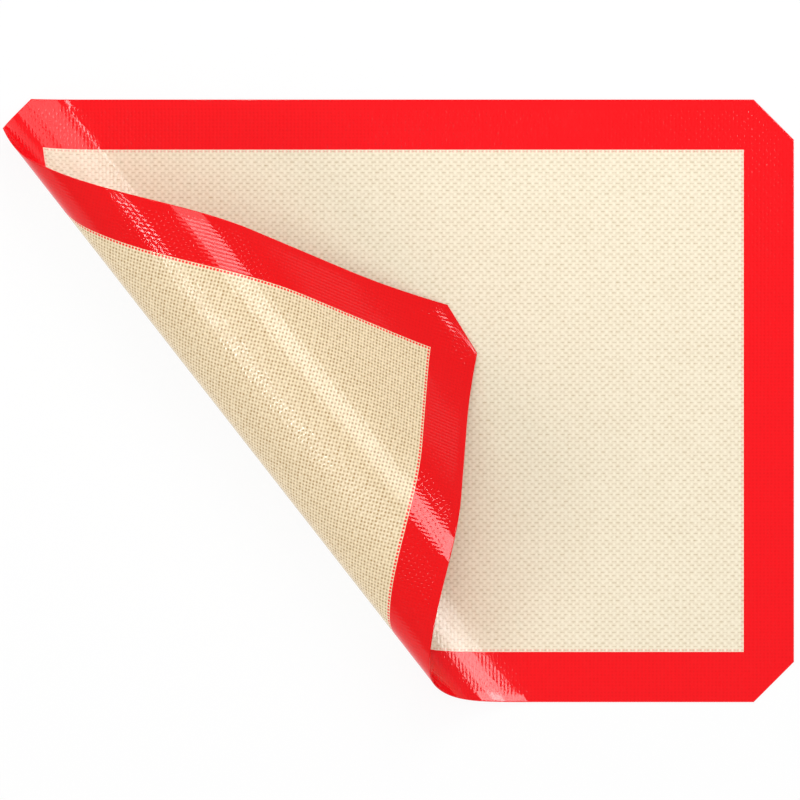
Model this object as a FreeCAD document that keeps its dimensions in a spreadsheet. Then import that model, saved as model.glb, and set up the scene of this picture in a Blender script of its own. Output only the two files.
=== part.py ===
import FreeCAD, Part
import math
import os

import Sketcher

# A silicone baking mat on a table, face up, with its front left corner rolled back over itself.
# Millimetres. X runs along the long side, Y along the short side and Z up. The origin is on the
# table, under the centre of the mat as it would lie flat.
os.makedirs("parts", exist_ok=True)
doc = FreeCAD.newDocument("baking_mat")

# Driving sizes. Every other size follows from these.
SIZES = {
    "mat_length": 400,           # long side of the flat mat
    "mat_width": 300,            # short side of the flat mat
    "corner_leg": 20,            # length cut off each side at a corner
    "border_width": 25,          # coloured border, from the edge of the mat to the window
    "fabric_thickness": 0.30,    # woven glass cloth in the middle
    "coat_thickness": 0.20,      # silicone on each face of the cloth
    "seal_width": 0.50,          # silicone beyond the cut edge of the cloth, which seals it in
    "fold_angle": 52,            # degrees between the fold and the long side
    "roll_length": 206,          # flat length between the fold and the furthest point of the corner
    "foot_radius": 60,           # gentle bend at the fold, where the sheet leaves the table
    "foot_turn": 20,             # degrees turned by the gentle bend
    "rise_radius": 27,           # bend up the outside of the roll
    "rise_turn": 64,             # degrees turned by that bend
    "back_radius": 19,           # tightest bend, at the back of the roll
    "back_turn": 46,             # degrees turned by the tightest bend
    "crest_radius": 43,          # wide bend over the top
    "tip_radius": 90,            # bend the other way, where the corner eases down onto the sheet
    "tip_slope": 22,             # degrees between the end of the corner and the sheet below
    "corner_gap": 0.30,          # clearance between the end of the corner and the sheet below
}
sizes = doc.addObject("Spreadsheet::Sheet", "sizes")
for row, (alias, value) in enumerate(SIZES.items(), 1):
    sizes.set(f"A{row}", alias.replace("_", " "))
    sizes.set(f"B{row}", str(value))
    sizes.setAlias(f"B{row}", alias)
doc.recompute()

# Depths of the layers, measured from the middle of the cloth towards the upper face.
cloth_face = sizes.fabric_thickness / 2
coat_face = cloth_face + sizes.coat_thickness


# Flat patterns: the closed outlines the layers are cut to before the corner is rolled.
START, END, ORIGIN_POINT, AXES = 1, 2, 1, -1


def flat_pattern(name, length, width, leg=None):
    """A sketch of a rectangle about the origin, with its corners cut where a leg is given.

    The three sizes are expressions. Sides are numbered anticlockwise from the front one.
    """
    sketch = doc.addObject("Sketcher::SketchObject", name)
    drawn = [sizes.mat_length / 2, sizes.mat_width / 2]
    cut = sizes.corner_leg if leg else 0
    points = []
    for x_sign, y_sign in ((-1, -1), (1, -1), (1, 1), (-1, 1)):
        x, y = x_sign * drawn[0], y_sign * drawn[1]
        along_side = (x - x_sign * cut, y)
        up_side = (x, y - y_sign * cut)
        pair = [up_side, along_side] if x_sign == y_sign else [along_side, up_side]
        points += pair if leg else pair[:1]
    points = points[1:] + points[:1] if leg else points
    count = len(points)
    for first, second in zip(points, points[1:] + points[:1]):
        line = Part.LineSegment(FreeCAD.Vector(*first, 0), FreeCAD.Vector(*second, 0))
        sketch.addGeometry(line)
    for side in range(count):
        sketch.addConstraint(Sketcher.Constraint("Coincident", side, END, (side + 1) % count, START))
    front, right, back, left = range(0, count, count // 4)
    for side in (front, back):
        sketch.addConstraint(Sketcher.Constraint("Horizontal", side))
    for side in (right, left):
        sketch.addConstraint(Sketcher.Constraint("Vertical", side))

    def size(kind, first, first_end, second, second_end, start_value, expression):
        constraint = Sketcher.Constraint(kind, first, first_end, second, second_end, start_value)
        index = sketch.addConstraint(constraint)
        sketch.setExpression(f"Constraints[{index}]", expression)

    sketch.addConstraint(Sketcher.Constraint("Symmetric", front, START, back, START, AXES, ORIGIN_POINT))
    if leg:
        sketch.addConstraint(Sketcher.Constraint("Symmetric", right, START, left, START, AXES, ORIGIN_POINT))
        size("DistanceX", front, END, right, START, cut, leg)
        size("DistanceY", front, END, right, START, cut, leg)
        size("DistanceX", back, START, right, END, cut, leg)
        size("DistanceY", right, END, back, START, cut, leg)
        size("DistanceX", left, START, back, END, cut, leg)
        size("DistanceY", front, START, left, END, cut, leg)
    size("DistanceX", left, END, right, START, 2 * drawn[0], length)
    size("DistanceY", front, END, back, START, 2 * drawn[1], width)
    return sketch


edge_pattern = flat_pattern(
    "edge_pattern", "sizes.mat_length", "sizes.mat_width", "sizes.corner_leg"
)
cloth_pattern = flat_pattern(
    "cloth_pattern",
    "sizes.mat_length - 2 * sizes.seal_width",
    "sizes.mat_width - 2 * sizes.seal_width",
    "sizes.corner_leg - (2 - sqrt(2)) * sizes.seal_width",
)
window_pattern = flat_pattern(
    "window_pattern",
    "sizes.mat_length - 2 * sizes.border_width",
    "sizes.mat_width - 2 * sizes.border_width",
)
doc.recompute()

# The roll. Seen along the fold it is a row of stretches, each straight or an even bend, that meet
# without a kink. Across is measured in the flat sheet, from the fold towards the corner, along is
# measured beside the fold, and depth from the middle of the cloth.
class Stretch:
    """A length of the roll with one bend: 1 / radius, negative where it turns back, 0 where straight."""

    def __init__(self, start, point, heading, bend):
        self.start, self.point, self.heading, self.bend = start, point, heading, bend

    def at(self, across, depth):
        """The point of the roll's side view and the heading there."""
        run = across - self.start
        heading = self.heading + self.bend * run
        x, z = self.point
        if self.bend:
            x += (math.sin(heading) - math.sin(self.heading)) / self.bend
            z += (math.cos(self.heading) - math.cos(heading)) / self.bend
        else:
            x += run * math.cos(heading)
            z += run * math.sin(heading)
        return x - depth * math.sin(heading), z + depth * math.cos(heading), heading

    def surface(self, depth):
        """The cylinder a bent stretch follows, turned so that the stretch starts half way round it."""
        to_centre = 1 / self.bend
        x, z, heading = self.at(self.start, to_centre)
        first_angle = heading - math.copysign(math.pi / 2, self.bend)
        cylinder = Part.Cylinder()
        cylinder.Radius = abs(to_centre - depth)
        turn = FreeCAD.Rotation(FreeCAD.Vector(0, 0, 1), math.degrees(first_angle - math.pi))
        cylinder.rotate(FreeCAD.Placement(FreeCAD.Vector(), turn))
        cylinder.Center = FreeCAD.Vector(x, z, 0)
        return cylinder

    def skin(self, sides, depth):
        """The face of a layer at one depth, inside a loop of straight sides of the flat pattern.

        Returns the face and its edges in the order of the sides. Where the stretch is bent, a side
        is drawn straight on the unrolled cylinder, so it wraps into a helix.
        """
        edges = []
        if not self.bend:
            for side in sides:
                ends = [FreeCAD.Vector(*self.at(across, depth)[:2], along) for across, along in side]
                edges.append(Part.makeLine(*ends))
            return Part.Face(Part.Wire(edges)), edges
        surface = self.surface(depth)
        for side in sides:
            ends = [FreeCAD.Base.Vector2d(self.turned(across), along) for across, along in side]
            edges.append(Part.Geom2d.Line2dSegment(*ends).toShape(surface))
        return Part.Face(surface, Part.Wire(edges)), edges

    def turned(self, across):
        """Angle round the cylinder at a flat length from the fold."""
        return math.pi + self.bend * (across - self.start)


def roll_with(crest_turn):
    """The stretches of the roll, for a bend over the top of so many degrees."""
    fall_turn = sizes.foot_turn + sizes.rise_turn + sizes.back_turn + crest_turn - 180
    bends = (
        (1 / sizes.foot_radius, math.radians(sizes.foot_turn) * sizes.foot_radius),
        (1 / sizes.rise_radius, math.radians(sizes.rise_turn) * sizes.rise_radius),
        (1 / sizes.back_radius, math.radians(sizes.back_turn) * sizes.back_radius),
        (1 / sizes.crest_radius, math.radians(crest_turn) * sizes.crest_radius),
    )
    tip_run = math.radians(max(fall_turn - sizes.tip_slope, 0)) * sizes.tip_radius
    straight_run = max(sizes.roll_length - sum(run for bend, run in bends) - tip_run, 0)
    lying = Stretch(0, (0, 0), 0, 0)
    stretches = [lying]
    start, point, heading = 0, (0, 0), 0
    for bend, run in (*bends, (0, straight_run), (-1 / sizes.tip_radius, tip_run)):
        if run:
            stretches.append(Stretch(start, point, heading, bend))
            start += run
            *point, heading = stretches[-1].at(start, 0)
    return stretches


def corner_height(crest_turn):
    """Clearance between the end of the corner, face down, and the sheet below it."""
    x, height, heading = roll_with(crest_turn)[-1].at(sizes.roll_length, coat_face)
    return height - coat_face


# The bend over the top turns as far as brings the corner down to rest on the sheet.
TURN_STEP = 0.01
least_turn = 180 - sizes.foot_turn - sizes.rise_turn - sizes.back_turn
turns = [least_turn + TURN_STEP * step for step in range(int((180 - least_turn) / TURN_STEP))]
crest_turn = min(turns, key=lambda turn: abs(corner_height(turn) - sizes.corner_gap))
roll = roll_with(crest_turn)

# Place of the roll in the mat: across points to the front left corner, along to the back left.
fold = math.radians(sizes.fold_angle)
across_way = FreeCAD.Vector(-math.sin(fold), -math.cos(fold), 0)
along_way = FreeCAD.Vector(-math.cos(fold), math.sin(fold), 0)
up_way = FreeCAD.Vector(0, 0, 1)
corner_reach = max(vertex.Point.dot(across_way) for vertex in edge_pattern.Shape.Vertexes)
fold_middle = across_way * (corner_reach - sizes.roll_length)
middle_height = up_way * coat_face
roll_turn = FreeCAD.Rotation(across_way, up_way, along_way, "XYZ")
roll_place = FreeCAD.Placement(fold_middle + middle_height, roll_turn)


def unrolled(*sketches):
    """The flat face inside the first sketch and outside the others, laid out as across and along."""
    outer, *holes = [Part.Face(sketch.Shape.Wires[0]) for sketch in sketches]
    face = outer
    for hole in holes:
        face = face.cut(hole)
    face.translate(middle_height)
    return face.transformGeometry(roll_place.inverse().toMatrix())


SEAM_WIDTH = 1e-6    # a side nearer than this to a seam lies on it
SAME_WAY = 1         # the two edges of a wall run the same way round


def wrapped(pattern, low, high):
    """The solid of one layer: its flat pattern rolled up, between two depths.

    Each stretch gets a face at both depths, and walls between them, except on the seams where it
    meets the next stretch.
    """
    box = pattern.BoundBox
    ends = [stretch.start for stretch in roll[1:]]
    faces = []
    for stretch, first, last in zip(roll, [box.XMin - 1, *ends], [*ends, box.XMax + 1]):
        strip = Part.makePolygon(
            [
                FreeCAD.Vector(first, 0, box.ZMin - 1),
                FreeCAD.Vector(last, 0, box.ZMin - 1),
                FreeCAD.Vector(last, 0, box.ZMax + 1),
                FreeCAD.Vector(first, 0, box.ZMax + 1),
                FreeCAD.Vector(first, 0, box.ZMin - 1),
            ]
        )
        for piece in pattern.common(Part.Face(strip)).Faces:
            corners = [(vertex.X, vertex.Z) for vertex in piece.OuterWire.OrderedVertexes]
            sides = list(zip(corners, corners[1:] + corners[:1]))
            low_skin, low_edges = stretch.skin(sides, low)
            high_skin, high_edges = stretch.skin(sides, high)
            faces += [low_skin, high_skin]
            for side, low_edge, high_edge in zip(sides, low_edges, high_edges):
                reach = [across for across, along in side]
                seams = [seam for seam in (first, last) if max(abs(x - seam) for x in reach) < SEAM_WIDTH]
                if not seams:
                    faces.append(Part.makeRuledSurface(low_edge, high_edge, SAME_WAY))
    shell = Part.Shell(faces)
    shell.sewShape()
    solid = Part.Solid(shell)
    if solid.Volume < 0:
        solid.reverse()
    return solid


# The layers of the mat. The cloth and the seal round it make the middle one, and a plain panel
# inside a coloured border makes each face.
cloth = unrolled(cloth_pattern)
rim = unrolled(edge_pattern, cloth_pattern)
panel = unrolled(window_pattern)
border = unrolled(edge_pattern, window_pattern)
LAYERS = {
    "glass_fabric": (cloth, -cloth_face, cloth_face),
    "edge_seal": (rim, -cloth_face, cloth_face),
    "upper_coat": (panel, cloth_face, coat_face),
    "upper_border": (border, cloth_face, coat_face),
    "lower_coat": (panel, -coat_face, -cloth_face),
    "lower_border": (border, -coat_face, -cloth_face),
}
parts = []
for label, (pattern, low, high) in LAYERS.items():
    part = doc.addObject("Part::Feature", label)
    part.Label = label
    part.Shape = wrapped(pattern, low, high)
    part.Placement = roll_place
    parts.append(part)
doc.recompute()

for item in doc.Objects:
    if "Invalid" in item.State or "Error" in item.State:
        raise RuntimeError(f"{item.Label} failed: {item.State}")
for part, (pattern, low, high) in zip(parts, LAYERS.values()):
    if part.Shape.isNull() or not part.Shape.isValid():
        raise RuntimeError(f"{part.Label} is not a valid solid")
    flat_volume = pattern.Area * (high - low)
    print(f"{part.Label}: {part.Shape.Volume:.1f} mm3, {flat_volume:.1f} mm3 before rolling")
for part in parts:
    part.Shape.exportStep(f"parts/{part.Label}.step")

crest = max(part.Shape.optimalBoundingBox().ZMax for part in parts)
print(f"bend over the top {crest_turn:.2f} degrees, roll {crest:.1f} mm high")
print(f"corner {corner_height(crest_turn):.2f} mm above the sheet")
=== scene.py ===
# %% [markdown]
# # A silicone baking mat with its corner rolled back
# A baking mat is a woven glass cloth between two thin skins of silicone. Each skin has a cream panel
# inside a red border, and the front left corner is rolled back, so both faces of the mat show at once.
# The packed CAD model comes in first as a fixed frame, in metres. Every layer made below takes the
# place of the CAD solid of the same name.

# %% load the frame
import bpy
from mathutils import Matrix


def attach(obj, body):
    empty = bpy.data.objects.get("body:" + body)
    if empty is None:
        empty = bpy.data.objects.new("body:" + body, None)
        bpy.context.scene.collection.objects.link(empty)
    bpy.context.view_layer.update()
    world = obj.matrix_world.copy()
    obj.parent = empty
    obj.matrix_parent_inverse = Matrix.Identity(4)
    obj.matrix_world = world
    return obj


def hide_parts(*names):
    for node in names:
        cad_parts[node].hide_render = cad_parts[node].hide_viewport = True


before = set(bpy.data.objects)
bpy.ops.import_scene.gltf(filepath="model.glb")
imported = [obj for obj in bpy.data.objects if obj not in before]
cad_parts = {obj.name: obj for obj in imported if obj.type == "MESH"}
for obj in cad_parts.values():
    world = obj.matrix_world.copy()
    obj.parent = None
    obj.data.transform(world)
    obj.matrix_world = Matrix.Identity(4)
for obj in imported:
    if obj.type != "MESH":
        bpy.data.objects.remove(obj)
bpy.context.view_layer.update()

# %% [markdown]
# The mat starts as a flat cut. Its corners are cut off at 45 degrees, the border has one width all round,
# and the glass cloth stops just short of the edge, where silicone seals it in. The outlines are worked
# out from a few sizes of the CAD model, so that every layer lands on its solid.

# %% flat outlines
import bmesh
import bpy
import math
import numpy as np
from mathutils import Matrix, Vector

MAT_LENGTH, MAT_WIDTH = 0.400, 0.300
CORNER_LEG = 0.020
BORDER_WIDTH = 0.025
SEAL_WIDTH = 0.0005
EDGE_ROUND = 0.0002


def cut_outline(inset):
    """The eight points of the mat's edge, moved inwards, anticlockwise from the front side."""
    x, y = MAT_LENGTH / 2 - inset, MAT_WIDTH / 2 - inset
    leg = CORNER_LEG - (2 - math.sqrt(2)) * inset
    right = [(x - leg, -y), (x, -y + leg), (x, y - leg), (x - leg, y)]
    left = [(-px, -py) for px, py in right]
    return [left[-1], *right, *left[:-1]]


window_x, window_y = MAT_LENGTH / 2 - BORDER_WIDTH, MAT_WIDTH / 2 - BORDER_WIDTH
window = [(-window_x, -window_y), (window_x, -window_y), (window_x, window_y), (-window_x, window_y)]
print("edge", [(round(x, 4), round(y, 4)) for x, y in cut_outline(0)])

# %% [markdown]
# A sheet can only bend one way at a time, so the roll is the same all along the fold. Seen from its
# end it is a row of even bends: up from the table, tightly round the back, wide over the top, straight
# down, and easing onto the sheet below. The crest, which is the bend over the top, turns just far enough
# to bring the corner down close above the sheet. A cloth simulation could settle near this shape, but
# the bends are known from the CAD model, and written down they give the same clean sheet in every run.

# %% side view of the roll
ROLL_LENGTH = 0.206
FOOT_RADIUS, FOOT_TURN = 0.060, math.radians(20)
RISE_RADIUS, RISE_TURN = 0.027, math.radians(64)
BACK_RADIUS, BACK_TURN = 0.019, math.radians(46)
CREST_RADIUS, CREST_TURN = 0.043, math.radians(93.97)
TIP_RADIUS, TIP_SLOPE = 0.090, math.radians(22)

tip_turn = FOOT_TURN + RISE_TURN + BACK_TURN + CREST_TURN - math.pi - TIP_SLOPE
bends = [
    (1 / FOOT_RADIUS, FOOT_TURN * FOOT_RADIUS),
    (1 / RISE_RADIUS, RISE_TURN * RISE_RADIUS),
    (1 / BACK_RADIUS, BACK_TURN * BACK_RADIUS),
    (1 / CREST_RADIUS, CREST_TURN * CREST_RADIUS),
    (-1 / TIP_RADIUS, tip_turn * TIP_RADIUS),
]
straight_run = ROLL_LENGTH - sum(run for bend, run in bends)
bends.insert(-1, (0, straight_run))


def bend_on(place, heading, bend, run):
    """The place and heading after a run, for arrays or numbers."""
    turned = heading + bend * run
    if bend == 0:
        return place[0] + run * np.cos(heading), place[1] + run * np.sin(heading), turned
    x = place[0] + (np.sin(turned) - np.sin(heading)) / bend
    z = place[1] + (np.cos(heading) - np.cos(turned)) / bend
    return x, z, turned


stretches = []
start, place, heading = 0.0, (0.0, 0.0), 0.0
for bend, run in bends:
    stretches.append((start, place, heading, bend))
    start += run
    *place, heading = bend_on(place, heading, bend, run)
print(f"straight run {straight_run * 1000:.1f} mm, corner ends {place[1] * 1000:.2f} mm above the fold")

# %% [markdown]
# With the side view known, any point of the flat cut has one place on the rolled mat: its distance past
# the fold says how far round the roll it goes, and its place along the fold stays. The depth is counted
# from the middle of the cloth, square to the sheet, so the layers stay as thick as they are when flat.

# %% from the flat cut to the roll
FOLD_ANGLE = math.radians(52)
CLOTH_FACE, COAT_FACE = 0.00015, 0.00035

across_way = np.array([-math.sin(FOLD_ANGLE), -math.cos(FOLD_ANGLE)])
along_way = np.array([-math.cos(FOLD_ANGLE), math.sin(FOLD_ANGLE)])
fold_reach = max(np.array(cut_outline(0)) @ across_way) - ROLL_LENGTH


def rolled(flat, depth):
    """Points of the rolled mat, for points of the flat cut and depths from the middle of the cloth."""
    across, along = flat @ across_way - fold_reach, flat @ along_way
    x, z, turned = across.copy(), np.zeros_like(across), np.zeros_like(across)
    for begin, place, heading, bend in stretches:
        there = across > begin
        x[there], z[there], turned[there] = bend_on(place, heading, bend, across[there] - begin)
    x -= depth * np.sin(turned)
    z += depth * np.cos(turned)
    ground = np.outer(x + fold_reach, across_way) + np.outer(along, along_way)
    return np.column_stack([ground, z + COAT_FACE])


print(f"the fold starts {fold_reach * 1000:.1f} mm from the middle of the mat")

# %% [markdown]
# All layers are cut from one flat mesh, so their edges meet point on point. It is made of rings: the
# rounded edge, the seal, the rest of the border and the window in the middle.

# %% flat mesh
EDGE, SEAL, BORDER, WINDOW = 1, 2, 3, 4

flat_mesh = bmesh.new()
ring_of = flat_mesh.faces.layers.int.new("ring")


def corners_at(points):
    return [flat_mesh.verts.new((x, y, 0)) for x, y in points]


def flat_face(corners, ring):
    flat_mesh.faces.new(corners)[ring_of] = ring


outer, rounded, cloth = [corners_at(cut_outline(inset)) for inset in (0, EDGE_ROUND, SEAL_WIDTH)]
inner = corners_at(window)
edges, sides = len(outer), len(inner)
for ring, wide, narrow in ((EDGE, outer, rounded), (SEAL, rounded, cloth)):
    for i in range(edges):
        j = (i + 1) % edges
        flat_face([wide[i], wide[j], narrow[j], narrow[i]], ring)
for side in range(sides):
    after = (side + 1) % sides
    first, last, corner = cloth[2 * side], cloth[2 * side + 1], cloth[2 * after]
    flat_face([first, last, inner[after], inner[side]], BORDER)
    flat_face([last, corner, inner[after]], BORDER)
flat_face(inner, WINDOW)
print(f"flat mesh: {len(flat_mesh.faces)} faces in four rings")

# %% [markdown]
# The flat mesh is sliced along the rulings of the roll, which are the lines that stay straight when the
# sheet bends. The slices are close together where the roll bends. More slices across the rulings make
# cells of an even size. A plain grid would be simpler, but it would cut the bends into slanting facets.

# %% slices
CELL = 0.010
BEND_STEP = math.radians(3)
FAR_SIDE = 0.44
HALF_FOLD = 0.25
SAME_POINT = 1e-6


def slice_flat(point, normal):
    """Cuts the flat mesh along a line through a point."""
    whole = [*flat_mesh.verts, *flat_mesh.edges, *flat_mesh.faces]
    bmesh.ops.bisect_plane(
        flat_mesh, geom=whole, dist=SAME_POINT, plane_co=(*point, 0), plane_no=(*normal, 0)
    )


rulings = list(np.arange(-FAR_SIDE, 0, CELL))
start = 0.0
for bend, run in bends:
    steps = max(1, round(max(abs(bend) * run / BEND_STEP, run / CELL)))
    rulings += [start + run * step / steps for step in range(steps)]
    start += run
for ruling in rulings:
    slice_flat((fold_reach + ruling) * across_way, across_way)
for line in np.arange(-HALF_FOLD, HALF_FOLD, CELL):
    slice_flat(line * along_way, along_way)
print(f"flat mesh: {len(flat_mesh.faces)} cells, {len(rulings)} rulings")

# %% [markdown]
# Each layer is a closed sheet of real thickness: faces over and under its cells, and short walls where
# the cells end. A Solidify modifier would thicken a surface too, but it follows averaged normals, and
# here every layer has to fill the exact room between its neighbours.

# %% closed sheets
def cells_in(rings):
    return [face for face in flat_mesh.faces if face[ring_of] in rings]


def flat_area(rings):
    return sum(cell.calc_area() for cell in cells_in(rings))


def closed_sheet(cells, number, count):
    """Corner numbers of the faces. The upper points follow the lower ones, count places later."""
    chosen = set(cells)
    faces = []
    for cell in cells:
        loop = [number[vert] for vert in cell.verts]
        faces += [[i + count for i in loop], loop[::-1]]
        for side in cell.loops:
            if sum(face in chosen for face in side.edge.link_faces) == 1:
                i, j = number[side.vert], number[side.link_loop_next.vert]
                faces.append([i, j, j + count, i + count])
    return faces


cloth_rings, seal_rings = (BORDER, WINDOW), (EDGE, SEAL)
coat_rings, border_rings = (WINDOW,), (EDGE, SEAL, BORDER)
print(f"the whole cut has {flat_area(cloth_rings) + flat_area(seal_rings):.4f} m2")

# %% [markdown]
# A layer is a choice of rings between two depths, and its two faces are the flat cells rolled up at those
# depths. Near the edge of the mat the outer faces of the border drop a little, which rounds the edge.
# Each point also keeps its place in the flat cut, because the weave has to follow the sheet round the
# roll. The cloth and its seal are in the middle, and each face of the mat has a panel and a border.

# %% layers
EDGE_DROP = 0.0001
SHARP_FROM = math.radians(35)


def layer(name, rings, low, high):
    """A closed sheet: the flat cells of some rings, rolled up between two depths."""
    cells = cells_in(rings)
    corners = list({vert: None for cell in cells for vert in cell.verts})
    number = {vert: i for i, vert in enumerate(corners)}
    count = len(corners)
    flat = np.array([vert.co[:2] for vert in corners])
    drop = np.where([vert.is_boundary for vert in corners], EDGE_DROP, 0)
    lows = np.full(count, low) + (drop if low == -COAT_FACE else 0)
    highs = np.full(count, high) - (drop if high == COAT_FACE else 0)
    mesh = bpy.data.meshes.new(name)
    points = np.vstack([rolled(flat, lows), rolled(flat, highs)])
    mesh.from_pydata(points, [], closed_sheet(cells, number, count))
    mesh.shade_smooth()
    mesh.set_sharp_from_angle(angle=SHARP_FROM)
    flat_places = np.column_stack([np.tile(flat, (2, 1)), np.zeros(2 * count)])
    kept = mesh.attributes.new("flat", "FLOAT_VECTOR", "POINT")
    kept.data.foreach_set("vector", flat_places.ravel())
    piece = bpy.data.objects.new(name + "_layer", mesh)
    bpy.context.scene.collection.objects.link(piece)
    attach(piece, "root")
    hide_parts(name)
    print(f"{name}: {len(mesh.polygons)} faces, flat area {flat_area(rings):.4f} m2")
    return piece


glass_fabric = layer("glass_fabric", cloth_rings, -CLOTH_FACE, CLOTH_FACE)
edge_seal = layer("edge_seal", seal_rings, -CLOTH_FACE, CLOTH_FACE)
upper_coat = layer("upper_coat", coat_rings, CLOTH_FACE, COAT_FACE)
upper_border = layer("upper_border", border_rings, CLOTH_FACE, COAT_FACE)
lower_coat = layer("lower_coat", coat_rings, -COAT_FACE, -CLOTH_FACE)
lower_border = layer("lower_border", border_rings, -COAT_FACE, -CLOTH_FACE)

# %% [markdown]
# Finishes are written as sums. A wire stands for one socket of a material, and adding or multiplying
# wires puts Math nodes between them, so a pattern reads like the formula it is. The same nodes could be
# placed by hand in the shader editor, but a formula is easier to read and to change.

# %% wires
class Wire:
    """One socket of a material. Arithmetic on it adds Math nodes."""

    def __init__(self, finish, socket):
        self.finish, self.socket = finish, socket

    def maths(self, operation, *values):
        sockets = dict(enumerate(values))
        return self.finish.node("Math", {"operation": operation}, sockets)

    def __add__(self, other):
        return self.maths("ADD", self, other)

    def __sub__(self, other):
        return self.maths("SUBTRACT", self, other)

    def __rsub__(self, other):
        return self.maths("SUBTRACT", other, self)

    def __mul__(self, other):
        return self.maths("MULTIPLY", self, other)

    def __truediv__(self, other):
        return self.maths("DIVIDE", self, other)

    def __rtruediv__(self, other):
        return self.maths("DIVIDE", other, self)

    def __pow__(self, other):
        return self.maths("POWER", self, other)

    def __rpow__(self, other):
        return self.maths("POWER", other, self)

    __radd__, __rmul__ = __add__, __mul__

    def cos(self):
        return self.maths("COSINE", self)

    def sin(self):
        return self.maths("SINE", self)

    def size(self):
        return self.maths("ABSOLUTE", self)

    def zigzag(self):
        """0 at every whole number, 1 half way between, with straight slopes."""
        return self.maths("PINGPONG", self, 0.5) * 2

    def least(self, other):
        return self.maths("MINIMUM", self, other)

    def most(self, other):
        return self.maths("MAXIMUM", self, other)

    def rise(self, low, high):
        """0 at low and beyond, 1 at high and beyond, smooth between. Low may be the larger one."""
        ends = {"Value": self, "From Min": low, "From Max": high}
        return self.finish.node("MapRange", {"interpolation_type": "SMOOTHSTEP"}, ends)


print("a wire can", ", ".join(name for name in vars(Wire) if not name.startswith("_")))

# %% [markdown]
# Any node that isn't arithmetic comes from one method, which sets the node up first and then fills its
# sockets with numbers, colours or wires. Colours are written as a screen shows them, which is easier to
# judge by eye, and are turned into the renderer's own scale here.

# %% finishes
class Finish:
    """A node tree under construction."""

    def __init__(self, tree):
        self.tree = tree

    def node(self, kind, settings, sockets, output=0):
        made = self.tree.nodes.new("ShaderNode" + kind)
        for key, value in settings.items():
            setattr(made, key, value)
        for key, value in sockets.items():
            if isinstance(value, Wire):
                self.tree.links.new(value.socket, made.inputs[key])
            else:
                made.inputs[key].default_value = value
        return Wire(self, made.outputs[output]) if made.outputs else None

    def blend(self, share, first, second):
        """A colour between two colours."""
        ends = {"Factor": share, 6: first, 7: second}
        return self.node("Mix", {"data_type": "RGBA"}, ends, 2)


def new_finish(name):
    material = bpy.data.materials.new(name)
    material.use_nodes = True
    material.node_tree.nodes.clear()
    return material, Finish(material.node_tree)


def paint(red, green, blue):
    """A colour as a screen shows it, from 0 to 255, in the renderer's own scale."""
    def light(level):
        level /= 255
        return level / 12.92 if level <= 0.04045 else ((level + 0.055) / 1.055) ** 2.4
    return light(red), light(green), light(blue), 1


print("middle grey paints as", round(paint(128, 128, 128)[0], 3))

# %% [markdown]
# The cloth is a plain weave: each yarn goes over one and under the next. The silicone is so thin that
# the weave shows through it, in colour and in shape. Sines and cosines that turn once in two yarns tell
# over from under. From them come the hollows between the yarns, the dashes and bars that the upper face
# shows, and the crowns of the lower face. There are two reliefs: straight-sided ridges with a dimple
# beside every second crossing, and even knuckles, which stand up at one crossing and sink at the next.
# A picture of a weave would blur close up, and a formula stays sharp.

# %% weave
YARNS_X, YARNS_Y = 95, 71  # from the middle of the mat to the side of the window
YARN_X, YARN_Y = window_x / YARNS_X, window_y / YARNS_Y
DASH_THINNESS, BAR_STEEPNESS = 14, 2
DIMPLE_DEPTH = 0.6
# each edge is where a mark starts and where it is full
DASH_EDGE, BAR_EDGE = (-0.5, 0.3), (0.45, 1.0)
CROWN_EDGE, DIMPLE_EDGE = (0.0, 0.8), (0.45, 0.95)


class Weave:
    """The plain weave as wires, from the place in the flat cut."""

    def __init__(self, finish):
        self.place = finish.node("Attribute", {"attribute_name": "flat"}, {}, "Vector")
        self.x, self.y = [finish.node("SeparateXYZ", {}, {0: self.place}, axis) for axis in "XY"]
        turn_x, turn_y = self.x * (math.pi / YARN_X), self.y * (math.pi / YARN_Y)
        side_on = turn_x.cos() * (turn_y.sin() * BAR_STEEPNESS).most(-1.0).least(1.0)
        self.hollow = turn_y.sin() ** 2 * turn_x.sin() ** 2
        self.dash = turn_y.sin() ** DASH_THINNESS * side_on.rise(*DASH_EDGE)
        self.bar = (0 - side_on).rise(*BAR_EDGE)
        self.crown = (turn_x.cos() * turn_y.cos() ** 3).rise(*CROWN_EDGE)
        dimple = (turn_x.sin() * turn_y.cos()).rise(*DIMPLE_EDGE)
        ridge = 0.5 - (self.x / YARN_X).zigzag()
        self.ridges = ridge - dimple * DIMPLE_DEPTH
        self.knuckles = turn_x.cos() * turn_y.cos()


print(f"a yarn every {YARN_X * 1000:.2f} mm along the mat and {YARN_Y * 1000:.2f} mm across it")

# %% [markdown]
# Silicone is a half-gloss rubber: soft colour under a clear, smooth surface. The straight slopes of the
# relief act as small mirrors, so a lamp shows in the gloss as combs and dots. Round the window some red
# has run into the first hollows of the weave, which dots the edge, and along the rim of the mat the
# weave ends and the silicone is smooth. Wide clouds and fine grains of noise keep it all from looking
# printed. All skins share this one recipe and differ in a few numbers.

# %% recipe for silicone
RED, RED_DEEP = paint(253, 12, 24), paint(240, 6, 14)
SILICONE_IOR = 1.37
SMOOTH_RIM = (0.002, 0.006)
CLOUDS, GRAINS = {"Scale": 60.0, "Detail": 3.0}, {"Scale": 450.0, "Detail": 1.0}
MEAN_NOISE = 0.5
CLOUD_SHADE, CLOUD_ROUGHNESS = 0.12, 0.04
FIRST_GAP = (0.9 * YARN_X, 0.7 * YARN_X)
DYED_HOLLOW = (0.05, 0.4)


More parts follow.
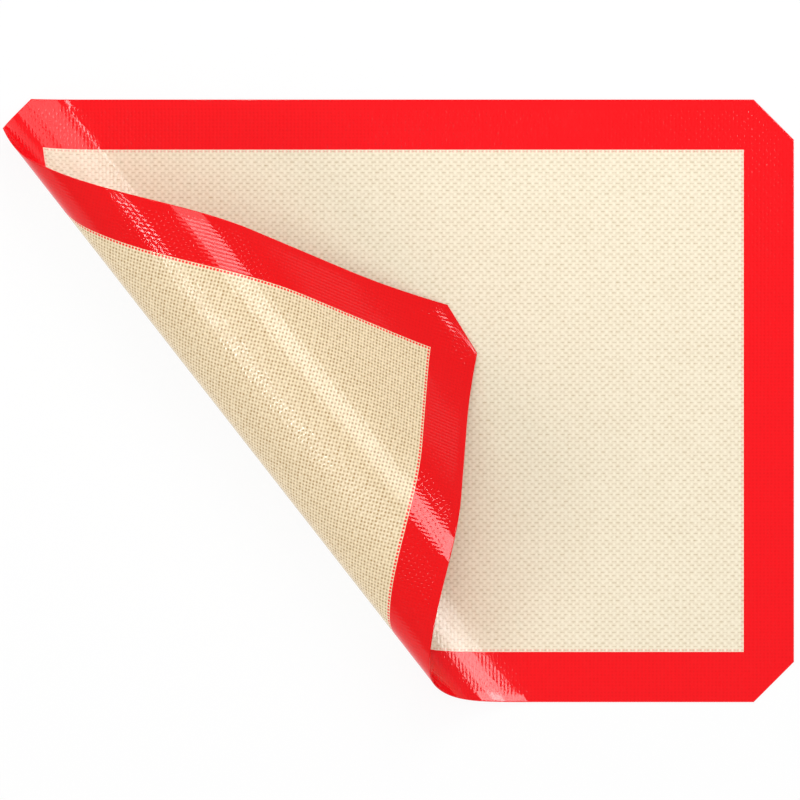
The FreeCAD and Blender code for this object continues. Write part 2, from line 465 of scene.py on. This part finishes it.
def silicone(name, main, deep, shading, depth, relief, roughness, dye=0.0):
    """A silicone skin over the weave.

    Shading gives the share of the deep colour from the weave, and relief the height, as a share of
    the depth. Dye is how much red runs into the first hollows inside the window.
    """
    material, finish = new_finish(name)
    weave = Weave(finish)
    cloud = finish.node("TexNoise", {}, {"Vector": weave.place, **CLOUDS}) - MEAN_NOISE
    grain = finish.node("TexNoise", {}, {"Vector": weave.place, **GRAINS}) / MEAN_NOISE
    shade = shading(weave) * grain + cloud * CLOUD_SHADE
    colour = finish.blend(shade.most(0.0).least(1.0), main, deep)
    if dye:
        inside = (window_x - weave.x.size()).least(window_y - weave.y.size())
        dyed = inside.rise(*FIRST_GAP) * weave.hollow.rise(*DYED_HOLLOW) * dye
        colour = finish.blend(dyed, colour, RED)
    x_margin, y_margin = MAT_LENGTH / 2 - weave.x.size(), MAT_WIDTH / 2 - weave.y.size()
    margin = x_margin.least(y_margin).least((x_margin + y_margin - CORNER_LEG) * math.sqrt(0.5))
    height = relief(weave) * margin.rise(*SMOOTH_RIM)
    bump = finish.node("Bump", {}, {"Strength": 1.0, "Distance": depth, "Height": height})
    surface = {
        "Base Color": colour,
        "Roughness": roughness + cloud * CLOUD_ROUGHNESS,
        "Normal": bump,
        "IOR": SILICONE_IOR,
    }
    shader = finish.node("BsdfPrincipled", {}, surface)
    finish.node("OutputMaterial", {}, {"Surface": shader})
    print(f"{name}: {len(material.node_tree.nodes)} nodes")
    return material


print(f"red can run {FIRST_GAP[0] * 1000:.1f} mm into the window")

# %% [markdown]
# Four skins come from the recipe. On the upper face the weave is faint, so short dashes lie between pale
# bars. The lower face was pressed into the cloth: its yarns stand out as crowns with dark hollows between
# them. Its red and cream are painted a little darker, and its cream warmer, as painted shade for the
# rolled corner, the only place where this face shows. Its cream has the even knuckles, which spread a
# highlight into a soft sheen, and the other skins have the ridges.

# %% silicone skins
# painted shade: the lower face's red is a darker copy of the upper red
SHADED_RED_BELOW, SHADED_RED_BELOW_DEEP = paint(242, 7, 14), paint(228, 5, 10)
CREAM, CREAM_DEEP = paint(255, 245, 221), paint(196, 172, 128)
# painted shade: the lower cream is darker and warmer than the upper cream
SHADED_CREAM_BELOW, SHADED_CREAM_BELOW_DEEP = paint(255, 236, 200), paint(176, 139, 86)
RIDGE_DEPTH, KNUCKLE_DEPTH = 0.00003, 0.00004
RED_ROUGHNESS, CREAM_ROUGHNESS, UNDER_ROUGHNESS = 0.06, 0.09, 0.08
RED_HOLLOWS, RED_EVEN = 0.5, 0.1
DASHES, BETWEEN_BARS = 0.45, 0.2
HOLLOWS, BETWEEN_CROWNS = 0.8, 0.16


def red_shading(weave):
    return weave.hollow * RED_HOLLOWS + RED_EVEN


def upper_shading(weave):
    return weave.dash * DASHES + (1 - weave.bar) * BETWEEN_BARS


def under_shading(weave):
    return weave.hollow * HOLLOWS + (1 - weave.crown) * BETWEEN_CROWNS


def ridges(weave):
    return weave.ridges


def knuckles(weave):
    return weave.knuckles


red_upper = silicone(
    "red_silicone", RED, RED_DEEP, red_shading, RIDGE_DEPTH, ridges, RED_ROUGHNESS
)
# painted shade: the lower border takes the darker red
red_lower_shaded = silicone(
    "red_underside_shaded", SHADED_RED_BELOW, SHADED_RED_BELOW_DEEP, red_shading, RIDGE_DEPTH, ridges, RED_ROUGHNESS
)
cream_upper = silicone(
    "cream_silicone", CREAM, CREAM_DEEP, upper_shading, RIDGE_DEPTH, ridges, CREAM_ROUGHNESS, dye=0.2
)
# painted shade: the lower panel takes the darker, warmer cream
cream_lower_shaded = silicone(
    "cream_underside_shaded", SHADED_CREAM_BELOW, SHADED_CREAM_BELOW_DEEP, under_shading,
    KNUCKLE_DEPTH, knuckles, UNDER_ROUGHNESS, dye=0.9,
)

# %% [markdown]
# The glass cloth is hidden between the skins, but it is a layer of its own and gets its own finish: pale
# dull yarns with darker gaps between them. It takes the same weave, so cloth and skins agree.

# %% glass cloth
GLASS, GLASS_GAP = paint(236, 233, 224), paint(170, 166, 152)
YARN_DEPTH = 0.00006
YARN_ROUGHNESS, GAP_ROUGHNESS = 0.45, 0.75

glass_cloth, finish = new_finish("glass_cloth")
weave = Weave(finish)
yarn = finish.node("Bump", {}, {"Distance": YARN_DEPTH, "Height": weave.ridges})
surface = {
    "Base Color": finish.blend(weave.hollow, GLASS, GLASS_GAP),
    "Roughness": YARN_ROUGHNESS + weave.hollow * (GAP_ROUGHNESS - YARN_ROUGHNESS),
    "Normal": yarn,
}
finish.node("OutputMaterial", {}, {"Surface": finish.node("BsdfPrincipled", {}, surface)})
print(f"glass_cloth: {len(glass_cloth.node_tree.nodes)} nodes")

# %% [markdown]
# Now each layer gets its finish. The edge seal is red right through, and takes the finish of the lower
# border.

# %% put the finishes on
for piece, material, slot in (
    (glass_fabric, glass_cloth, "glass_cloth"),
    # the edge seal takes the darker lower red, with its painted shade
    (edge_seal, red_lower_shaded, "red_silicone"),
    (upper_coat, cream_upper, "cream_silicone"),
    (upper_border, red_upper, "red_silicone"),
    # the lower panel takes the cream with painted shade
    (lower_coat, cream_lower_shaded, "cream_silicone"),
    (lower_border, red_lower_shaded, "red_silicone"),
):
    piece.data.materials.append(material)
    print(piece.name, "has", material.name)

# %% [markdown]
# The area that the cloth was cut to, before its corner was rolled, is worked out as well. The glass
# cloth, its seal and the two borders share one cut, and its corners are cut off. The cream panels are
# plain rectangles that lie on the cloth.

# %% flat sizes
fabric_area = flat_area(cloth_rings)

# %% [markdown]
# The mat lies on a plain white floor. To the camera and in reflections most of what the floor shows is an
# even white glow, which keeps it white without more light on the mat. The rest is matt paint, so the roll
# still throws its soft shadow there. The floor is just under the mat, because two faces at one height
# would flicker.

# %% floor
FLOOR_REACH, FLOOR_HEIGHT = 15.0, -0.0002
FLOOR_GLOW = 0.9
FLOOR_PAINT = (0.95, 0.95, 0.95, 1)

floor_corners = [
    (x * FLOOR_REACH, y * FLOOR_REACH, FLOOR_HEIGHT) for x, y in ((-1, -1), (1, -1), (1, 1), (-1, 1))
]
floor_mesh = bpy.data.meshes.new("floor")
floor_mesh.from_pydata(floor_corners, [], [(0, 1, 2, 3)])
floor = bpy.data.objects.new("floor", floor_mesh)
bpy.context.scene.collection.objects.link(floor)

floor_white, finish = new_finish("floor_white")
seeing_rays = ("Is Camera Ray", "Is Glossy Ray", "Is Transmission Ray")
seen, mirrored, through = [finish.node("LightPath", {}, {}, ray) for ray in seeing_rays]
glow = (seen + mirrored + through).least(1.0) * FLOOR_GLOW
matt = finish.node("BsdfDiffuse", {}, {"Color": FLOOR_PAINT})
white = finish.node("Emission", {}, {"Strength": 1.0})
finish.node("OutputMaterial", {}, {"Surface": finish.node("MixShader", {}, {0: glow, 1: matt, 2: white})})
floor_mesh.materials.append(floor_white)
print("floor", 2 * FLOOR_REACH, "m wide")

# %% [markdown]
# Three large soft boxes and a pale sky light the mat evenly. The boxes don't show in its gloss. One lamp
# could do both jobs, but then every change to a highlight would change the shading too, so here lamps
# that light and lamps that show in the gloss are kept apart. A lamp's brightness says how bright it looks
# whatever its size, and the power that it needs follows from the brightness and the area.

# %% soft light
SKY_LEVEL = 0.505

world = bpy.data.worlds.new("studio")
bpy.context.scene.world = world
world.use_nodes = True
world.node_tree.nodes.clear()
sky = Finish(world.node_tree)
sky.node("OutputWorld", {}, {"Surface": sky.node("Background", {}, {"Strength": SKY_LEVEL})})


def softbox(name, place, size, brightness, lights, mirrored):
    """A rectangular lamp that faces the middle of the mat. It lights things or shows in gloss."""
    lamp = bpy.data.lights.new(name, "AREA")
    lamp.shape = "RECTANGLE"
    lamp.size, lamp.size_y = size
    lamp.energy = math.pi * size[0] * size[1] * brightness
    holder = bpy.data.objects.new(name, lamp)
    bpy.context.scene.collection.objects.link(holder)
    holder.location = place
    facing = -holder.location.normalized()
    side = Vector((*along_way, 0))
    turn = Matrix((side, side.cross(facing), -facing)).transposed()
    holder.rotation_mode = "QUATERNION"
    holder.rotation_quaternion = turn.to_quaternion()
    holder.visible_camera = False
    holder.visible_diffuse = lights
    holder.visible_glossy = mirrored
    print(f"{name}: {lamp.energy:.2f} W")


def soft_light(name, place, width, brightness):
    softbox(name, place, (width, width), brightness, lights=True, mirrored=False)


soft_light("overhead", place=(0, 0, 3.5), width=4.0, brightness=1.04)
soft_light("left", place=(-3.2, -2.2, 2.2), width=2.2, brightness=3.1)
soft_light("rear", place=(0.2, 0.9, 0.9), width=0.6, brightness=5.2)

# %% [markdown]
# The highlights come from lamps that show in the gloss only. The main panel, to the back right, gives the
# wide pink bands on the rolled border. The side and end panels give the pale bands at the far end of the
# fold, the foot panel the bright one at its near end, and the narrow front panel brightens the rolled
# cream. Sparks are small lamps a metre from the roll, and the weave breaks each one into dots. A tilt is
# counted in degrees from straight above to the back right, so below zero it is to the front left.

# %% gloss
SPARK_DISTANCE, ROLL_TOP = 1.0, 0.05


def panel(name, tilt, distance, along, size, brightness):
    """A lamp tilted about the middle of the mat, then moved along the fold."""
    tilt = math.radians(tilt)
    foot = along * along_way - math.sin(tilt) * distance * across_way
    place = (*foot, math.cos(tilt) * distance)
    softbox(name, place, size, brightness, lights=False, mirrored=True)


def spark(name, tilt, across, along, size, brightness):
    """A small lamp tilted about a place on the roll, given by how far it is past the fold and along it."""
    tilt = math.radians(tilt)
    foot = (fold_reach + across - SPARK_DISTANCE * math.sin(tilt)) * across_way + along * along_way
    place = (*foot, SPARK_DISTANCE * math.cos(tilt) + ROLL_TOP)
    softbox(name, place, size, brightness, lights=False, mirrored=True)


panel("panel", tilt=26.5, distance=4.0, along=-0.10, size=(0.46, 1.80), brightness=9.5)
panel("side_panel", tilt=27.5, distance=4.0, along=0.53, size=(0.80, 1.90), brightness=3.0)
panel("end_panel", tilt=55, distance=1.0, along=0.295, size=(0.21, 0.52), brightness=2.6)
panel("foot_panel", tilt=44, distance=1.0, along=-0.2, size=(0.14, 0.56), brightness=9.5)
panel("front_panel", tilt=-24, distance=1.0, along=0.04, size=(0.06, 0.66), brightness=4.5)
for number, tilt in enumerate((-27, -33, -39)):
    spark(f"spark_{number}", tilt, across=0.009, along=0.137, size=(0.10, 0.045), brightness=20.0)
spark("spark_tip", tilt=52, across=-0.079, along=-0.014, size=(0.03, 0.03), brightness=14.0)
spark("spark_foot", tilt=8, across=0.004, along=0.27, size=(0.09, 0.045), brightness=14.0)

# %% [markdown]
# The camera looks straight down. It is far away with a long lens, so the sides of the mat stay parallel
# and the roll isn't pulled out of shape. The width of the view in metres sets the lens.

# %% camera
CAMERA_HEIGHT = 6.0
VIEW_WIDTH = 0.39834
VIEW_CENTRE = (0.0039, 0.0004)

camera_data = bpy.data.cameras.new("camera")
camera = bpy.data.objects.new("camera", camera_data)
bpy.context.scene.collection.objects.link(camera)
camera.location = (*VIEW_CENTRE, CAMERA_HEIGHT)
camera_data.lens = camera_data.sensor_width * CAMERA_HEIGHT / VIEW_WIDTH
bpy.context.scene.camera = camera
bpy.context.scene.view_settings.view_transform = "Standard"
print(f"lens {camera_data.lens:.0f} mm")

# %% [markdown]
